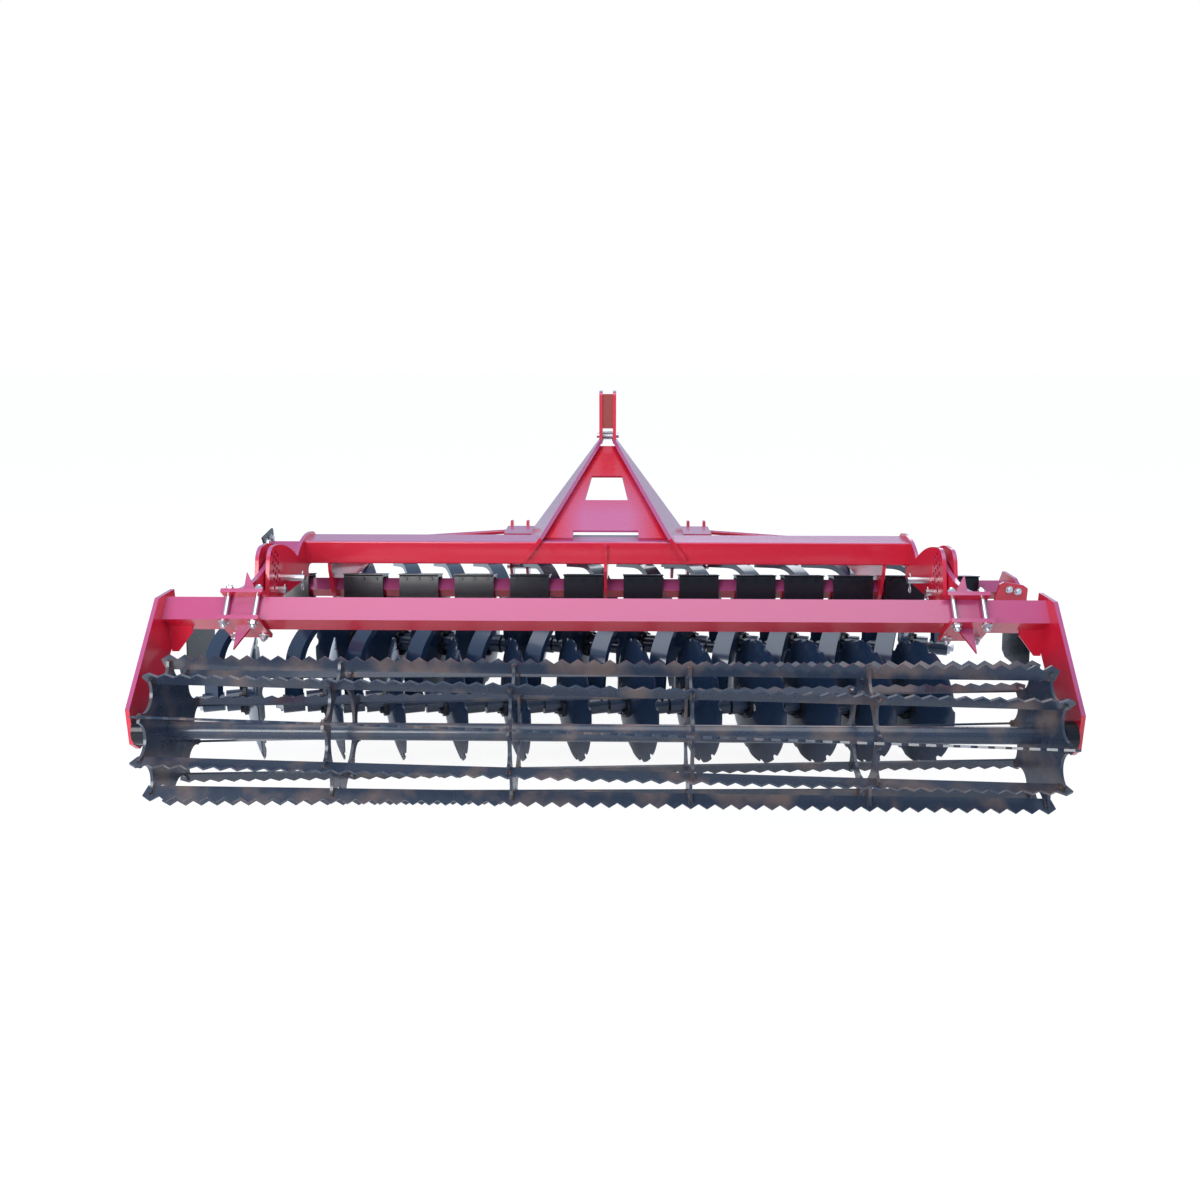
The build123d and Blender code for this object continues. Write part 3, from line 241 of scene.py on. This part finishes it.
# Building blocks of the small fittings
def new_piece(name, shape, body, look):
    """Object made from a bmesh, given its look and set to move with a body."""
    mesh = bpy.data.meshes.new(name)
    shape.to_mesh(mesh)
    shape.free()
    piece = bpy.data.objects.new(name, mesh)
    mesh.materials.append(look)
    scene.collection.objects.link(piece)
    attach(piece, body)


def pointing(origin, direction, turn=0.0):
    """Transform that takes the Z axis to a direction, at an origin."""
    rotation = Vector(direction).to_track_quat("Z", "Y").to_matrix().to_4x4()
    return Matrix.Translation(origin) @ rotation @ Matrix.Rotation(turn, 4, "Z")


def add_round(shape, place, radius, start, end, sides=24, tip_radius=None):
    """Cylinder or hexagon along the Z axis of place, between start and end."""
    middle = place @ Matrix.Translation((0, 0, (start + end) / 2))
    bmesh.ops.create_cone(
        shape, cap_ends=True, segments=sides, radius1=radius,
        radius2=radius if tip_radius is None else tip_radius, depth=end - start, matrix=middle,
    )


WASHER_THICKNESS = 0.003
WASHER_SHARE = 1.22      # washer's radius and crown's two radii, as shares of the nut's corner radius
CROWN_SHARE = 0.97
TIP_SHARE = 0.8
FLAT_SHARE = 0.8         # share of the nut's thickness below its crown


def add_nut(shape, place, start, across, thickness, washer=True):
    """Hexagon nut on a face at start, with a rounded crown, on a washer where one is wanted."""
    corner = across / 2 / cos(pi / 6)
    if washer:
        add_round(shape, place, corner * WASHER_SHARE, start, start + WASHER_THICKNESS)
        start += WASHER_THICKNESS
    crown = start + thickness * FLAT_SHARE
    add_round(shape, place, corner, start, crown, sides=6)
    add_round(shape, place, corner * CROWN_SHARE, crown, start + thickness, sides=12,
              tip_radius=corner * TIP_SHARE)


def add_prism(shape, low_corners, high_corners):
    """Flat plate between two outlines with the same number of corners."""
    low = [shape.verts.new(corner) for corner in low_corners]
    high = [shape.verts.new(corner) for corner in high_corners]
    shape.faces.new(low)
    shape.faces.new(reversed(high))
    for first in range(len(low)):
        second = (first + 1) % len(low)
        shape.faces.new((low[second], low[first], high[first], high[second]))
    bmesh.ops.recalc_face_normals(shape, faces=shape.faces)


# Nuts of the clamp bolts, and a fin beside each lug
BEAM_AHEAD = 0.335
ROLLER_BEAM_HEIGHT = 0.727
BEAM_MID = Vector((0, ROLLER_Y + BEAM_AHEAD, ROLLER_BEAM_HEIGHT))
CLAMP_X = 1.305
CLAMP_FACE = 0.060       # from the beam's middle to the outside of a clamp plate
BOLT_SPACING = 0.106
BOLT_OFFSET = 0.062
BOLT_SLOPE = radians(50)
CLAMP_NUT = (0.026, 0.014)
LUG_X = 1.320
FIN_REACH = 0.055
FIN_HEIGHT = 0.095
FIN_FACES = (0.020, 0.030)
ALONG_BOLT = Vector((0, cos(BOLT_SLOPE), sin(BOLT_SLOPE)))
UP_FACE = Vector((0, -sin(BOLT_SLOPE), cos(BOLT_SLOPE)))


def add_clamp_nuts(side_name, side):
    shape = bmesh.new()
    for across in (-1, 1):
        for up in (-1, 1):
            centre = BEAM_MID + Vector((side * CLAMP_X + across * BOLT_SPACING / 2, 0, 0))
            centre += UP_FACE * up * BOLT_OFFSET
            for direction in (ALONG_BOLT, -ALONG_BOLT):
                add_nut(shape, pointing(centre, direction, 0.3 * across), CLAMP_FACE, *CLAMP_NUT)
    new_piece(f"clamp_nuts_{side_name}", shape, "roller_frame", ZINC)


def add_clamp_fin(side_name, side):
    shape = bmesh.new()
    root = BEAM_MID + ALONG_BOLT * CLAMP_FACE + Vector((side * LUG_X, 0, 0))
    corners = (root, root - Vector((side * FIN_REACH, 0, 0)), root + ALONG_BOLT * FIN_HEIGHT)
    add_prism(shape, *([corner + UP_FACE * offset for corner in corners] for offset in FIN_FACES))
    new_piece(f"clamp_fin_{side_name}", shape, "roller_frame", RED)


for side_name, side in SIDES:
    add_clamp_nuts(side_name, side)
    add_clamp_fin(side_name, side)

# Disc units of each row: the bodies with the middle of their arm's end and their axle's direction
BEAM_HEIGHT = 0.620
REAR_BEAM_Y = ROLLER_Y + 1.150
FRONT_BEAM_Y = REAR_BEAM_Y + 0.800
ARM_SIDESTEP = 0.200
rows = {"rear": (REAR_BEAM_Y, -1), "front": (FRONT_BEAM_Y, 1)}
units = {row: [] for row in rows}
for joint in frame["joints"]:
    if joint["name"].startswith("disc_"):
        row = joint["name"].split("_")[1]
        units[row].append((joint["child"], Vector(joint["pos_m"]), Vector(joint["axis"])))

# Bolts in the rear face of each disc housing, just under its cover
HOUSING_TILT = radians(12)
HOUSING_HALF = 0.056
HOUSING_BOLT_SPACING = 0.056
HOUSING_BOLT_DROP = 0.016
HOUSING_BOLT = (0.014, 0.008)


def add_housing_bolts():
    up = Vector((0, sin(HOUSING_TILT), cos(HOUSING_TILT)))
    back = Vector((0, -cos(HOUSING_TILT), sin(HOUSING_TILT)))
    shape = bmesh.new()
    for row, (beam_y, mirror) in rows.items():
        for _, foot, _ in units[row]:
            centre = Vector((foot.x - mirror * ARM_SIDESTEP, beam_y, BEAM_HEIGHT))
            face = centre + back * HOUSING_HALF + up * (HOUSING_HALF - HOUSING_BOLT_DROP)
            for step in (-1, 0, 1):
                place = pointing(face + Vector((step * HOUSING_BOLT_SPACING, 0, 0)), back, 0.4 * step)
                add_nut(shape, place, 0, *HOUSING_BOLT, washer=False)
    new_piece("housing_bolts", shape, "frame", BLACK)


add_housing_bolts()

# Hub flanges with their nuts, and the cap at each arm's end
HUB_END = 0.130
FLANGE_RADIUS = 0.066
FLANGE_SPAN = (HUB_END - 0.014, HUB_END - 0.001)
FLANGE_NUT_CIRCLE = 0.053
FLANGE_NUTS = 5
FLANGE_NUT = (0.018, 0.011)
BARREL_END = 0.042
CAP_RADIUS = 0.030
CAP_THICKNESS = 0.012
CAP_NUT = (0.03, 0.014)
TURN_OVER = Matrix.Rotation(pi, 4, "X")


def add_flange(body, place):
    shape = bmesh.new()
    add_round(shape, place, FLANGE_RADIUS, *FLANGE_SPAN, sides=40)
    for number in range(FLANGE_NUTS):
        turn = 2 * pi * number / FLANGE_NUTS
        seat = place @ Matrix.Translation((FLANGE_NUT_CIRCLE * cos(turn), FLANGE_NUT_CIRCLE * sin(turn), 0))
        add_nut(shape, seat @ TURN_OVER, -FLANGE_SPAN[0], *FLANGE_NUT)
    new_piece(f"flange_{body}", shape, body, BLACK)


def add_arm_cap(shape, place):
    add_round(shape, place, CAP_RADIUS, -BARREL_END - CAP_THICKNESS, -BARREL_END, sides=32)
    add_nut(shape, place @ TURN_OVER, BARREL_END + CAP_THICKNESS, *CAP_NUT)


for row in rows:
    caps = bmesh.new()
    for body, foot, axis in units[row]:
        place = pointing(foot, axis)
        add_flange(body, place)
        add_arm_cap(caps, place)
    new_piece(f"arm_caps_{row}", caps, "frame", ZINC)

# Clips through the ends of the ear pins
CLIP_WIRE_RADIUS = 0.0022
CLIP_OUTLINE = (
    (0, 0.5), (0, -0.5), (0.35, -1.0), (0.1, -1.5), (-0.35, -1.1), (0.3, -0.4), (0.1, 0.3), (0.45, 0.7)
)
STOP = PIVOT + Vector((0, -0.071, -0.032))
PIVOT_CLIP_X = 1.228
PIVOT_CLIP_SIZE = 0.034
STOP_CLIP_X = 1.280
STOP_CLIP_SIZE = 0.026


def add_clip(name, centre, size):
    """Bent wire clip hanging in the cross-hole of a pin that lies along X."""
    curve = bpy.data.curves.new(name, "CURVE")
    curve.dimensions = "3D"
    curve.bevel_depth = CLIP_WIRE_RADIUS
    curve.bevel_resolution = 3
    spline = curve.splines.new("BEZIER")
    spline.bezier_points.add(len(CLIP_OUTLINE) - 1)
    for point, (y, z) in zip(spline.bezier_points, CLIP_OUTLINE):
        point.co = (centre.x, centre.y + y * size, centre.z + z * size)
        point.handle_left_type = point.handle_right_type = "AUTO"
    clip = bpy.data.objects.new(name, curve)
    curve.materials.append(ZINC)
    scene.collection.objects.link(clip)
    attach(clip, "frame")


for side_name, side in SIDES:
    add_clip(f"pivot_clip_{side_name}", PIVOT + Vector((side * PIVOT_CLIP_X, 0, 0)), PIVOT_CLIP_SIZE)
    add_clip(f"stop_clip_{side_name}", STOP + Vector((side * STOP_CLIP_X, 0, 0)), STOP_CLIP_SIZE)

# Weld beads where each bar passes through each ring
BAR_COUNT = 10
BAR_PHASE = 22           # degrees above the level, of the bar at the rear
BAR_LENGTH = 3.014
BAR_TIP_RADIUS = 0.260
BAR_HALF = 0.004
HALF_SKEW = radians(9.5)
RING_COUNT = 6
RING_SPREAD = 2.956
RING_HALF = 0.005
BEAD_START = 0.207       # from the axle to a bead's two ends
BEAD_END = 0.236
BEAD_RADIUS = 0.0042
BEAD_ROUNDS = 5
RIPPLE = 0.18


def add_bead(shape, start, end):
    """Row of overlapping rounds of uneven size, like the ripples of a weld."""
    for number in range(BEAD_ROUNDS):
        share = number / (BEAD_ROUNDS - 1)
        size = BEAD_RADIUS * (1 + RIPPLE * sin(9.0 * share + 40 * start.x))
        bmesh.ops.create_icosphere(
            shape, subdivisions=1, radius=size, matrix=Matrix.Translation(start.lerp(end, share))
        )


def add_roller_welds():
    shape = bmesh.new()
    sideways = 2 * BAR_TIP_RADIUS * sin(HALF_SKEW)
    for number in range(BAR_COUNT):
        angle = radians(BAR_PHASE + number * 360 / BAR_COUNT)
        outward = Vector((0, -cos(angle), sin(angle)))
        along = Vector((BAR_LENGTH, -sideways * sin(angle), -sideways * cos(angle))) / BAR_LENGTH
        across = along.cross(outward).normalized()
        for ring in range(RING_COUNT):
            x = RING_SPREAD * (ring / (RING_COUNT - 1) - 0.5)
            for face in (-1, 1):
                for flank in (-1, 1):
                    foot = AXLE + along * (x + face * RING_HALF) + across * flank * BAR_HALF
                    add_bead(shape, foot + outward * BEAD_START, foot + outward * BEAD_END)
    new_piece("roller_welds", shape, "roller", WELD)


add_roller_welds()

# Spacer between the ears of the headstock
TOP_PIN = Vector((0, ROLLER_Y + 1.955, 1.215))
SPACER_RADIUS = 0.021
SPACER_HALF = 0.025


def add_mast_spacer():
    shape = bmesh.new()
    add_round(shape, pointing(TOP_PIN, (1, 0, 0)), SPACER_RADIUS, -SPACER_HALF, SPACER_HALF, sides=32)
    new_piece("mast_spacer", shape, "frame", ZINC)


add_mast_spacer()

# Flange at the rear of the right deflector's carrier, with its bolts and those of the black bracket
FLANGE_Y = ROLLER_Y + 0.952
FLANGE_THICKNESS = 0.008
FLANGE_CORNERS = (
    (1.640, 0.588), (1.784, 0.588), (1.784, 0.676), (1.764, 0.690), (1.682, 0.704), (1.664, 0.694)
)
FLANGE_BOLT_PLACES = ((1.705, 0.672), (1.742, 0.664))
FLANGE_BOLT = (0.022, 0.012)
BRACKET_FACE_X = -1.770
BRACKET_BOLT_PLACES = ((1.900, 0.668), (1.965, 0.676))
BRACKET_BOLT = (0.026, 0.014)


def add_carrier_flange():
    shape = bmesh.new()
    add_prism(shape, *(
        [(x, y, z) for x, z in FLANGE_CORNERS] for y in (FLANGE_Y, FLANGE_Y + FLANGE_THICKNESS)
    ))
    new_piece("carrier_flange", shape, "frame", RED)


def add_carrier_bolts():
    shape = bmesh.new()
    for x, z in FLANGE_BOLT_PLACES:
        add_nut(shape, pointing((x, FLANGE_Y, z), (0, -1, 0), x), 0, *FLANGE_BOLT)
    for ahead, z in BRACKET_BOLT_PLACES:
        place = pointing((BRACKET_FACE_X, ROLLER_Y + ahead, z), (1, 0, 0), ahead)
        add_nut(shape, place, 0, *BRACKET_BOLT)
    new_piece("carrier_bolts", shape, "frame", ZINC)


add_carrier_flange()
add_carrier_bolts()


def add_camera():
    camera = bpy.data.objects.new("camera", bpy.data.cameras.new("camera"))
    camera.data.lens = PHOTO_FOCAL_MM
    camera.data.sensor_width = PHOTO_SENSOR_MM
    camera.location = (CAMERA_X, ROLLER_Y - CAMERA_BEHIND_ROLLER, CAMERA_HEIGHT)
    camera.rotation_euler = (radians(90 - CAMERA_PITCH), 0, radians(CAMERA_YAW))
    scene.collection.objects.link(camera)
    scene.camera = camera


# Floor, sky and lamps
FLOOR_HALF = 40
FLOOR_GLOW = 1.13
GLOW_SHARE = 0.8         # how much of the floor that the camera sees is glow, and not its own shading
SKY_COLOR = (0.62, 0.78, 1.0)
SKY_STRENGTH = 0.75
WHITE = (1, 1, 1, 1)


def add_floor():
    """White floor that takes the machine's shadow."""
    corners = [(x * FLOOR_HALF, y * FLOOR_HALF, 0) for x, y in ((-1, -1), (1, -1), (1, 1), (-1, 1))]
    mesh = bpy.data.meshes.new("floor")
    mesh.from_pydata(corners, [], [(0, 1, 2, 3)])
    floor = bpy.data.objects.new("floor", mesh)
    scene.collection.objects.link(floor)
    material, tree, links = node_material("floor_white")
    shader = tree["Principled BSDF"]
    shader.inputs["Base Color"].default_value = (0.86, 0.86, 0.86, 1)
    shader.inputs["Roughness"].default_value = 0.9
    glow = tree.new("ShaderNodeEmission")
    glow.inputs["Color"].default_value = WHITE
    glow.inputs["Strength"].default_value = FLOOR_GLOW
    rays = tree.new("ShaderNodeLightPath")
    share = tree.new("ShaderNodeMath")
    share.operation = "MULTIPLY"
    share.inputs[1].default_value = GLOW_SHARE
    mix = tree.new("ShaderNodeMixShader")
    links.new(rays.outputs["Is Camera Ray"], share.inputs[0])
    links.new(share.outputs["Value"], mix.inputs["Fac"])
    links.new(shader.outputs["BSDF"], mix.inputs[1])
    links.new(glow.outputs["Emission"], mix.inputs[2])
    links.new(mix.outputs["Shader"], tree["Material Output"].inputs["Surface"])
    mesh.materials.append(material)


def add_world():
    """Pale blue sky that lights the machine, white where the camera sees it."""
    world = bpy.data.worlds.new("studio")
    scene.world = world
    world.use_nodes = True
    tree, links = world.node_tree.nodes, world.node_tree.links
    background = tree["Background"]
    background.inputs["Color"].default_value = (*SKY_COLOR, 1)
    background.inputs["Strength"].default_value = SKY_STRENGTH
    white = tree.new("ShaderNodeBackground")
    white.inputs["Color"].default_value = WHITE
    white.inputs["Strength"].default_value = 1.0
    rays = tree.new("ShaderNodeLightPath")
    mix = tree.new("ShaderNodeMixShader")
    links.new(rays.outputs["Is Camera Ray"], mix.inputs["Fac"])
    links.new(background.outputs["Background"], mix.inputs[1])
    links.new(white.outputs["Background"], mix.inputs[2])
    links.new(mix.outputs["Shader"], tree["World Output"].inputs["Surface"])


def add_lamp(name, location, target, width, height, power):
    """Rectangular lamp in metres and watts, facing its target."""
    light = bpy.data.lights.new(name, "AREA")
    light.shape = "RECTANGLE"
    light.size = width
    light.size_y = height
    light.energy = power
    lamp = bpy.data.objects.new(name, light)
    lamp.location = location
    lamp.rotation_euler = (Vector(target) - Vector(location)).to_track_quat("-Z", "Y").to_euler()
    scene.collection.objects.link(lamp)


add_camera()
add_floor()
add_world()
add_lamp("lamp_over", (0, -1, 4.2), (0, 0, 0.5), 5, 4, 130)
add_lamp("lamp_behind", (-2.5, -5, 2.0), (0, 0, 0.6), 3, 2, 170)
add_lamp("lamp_front", (2, 5, 3.5), (0, 0, 0.5), 4, 2, 80)
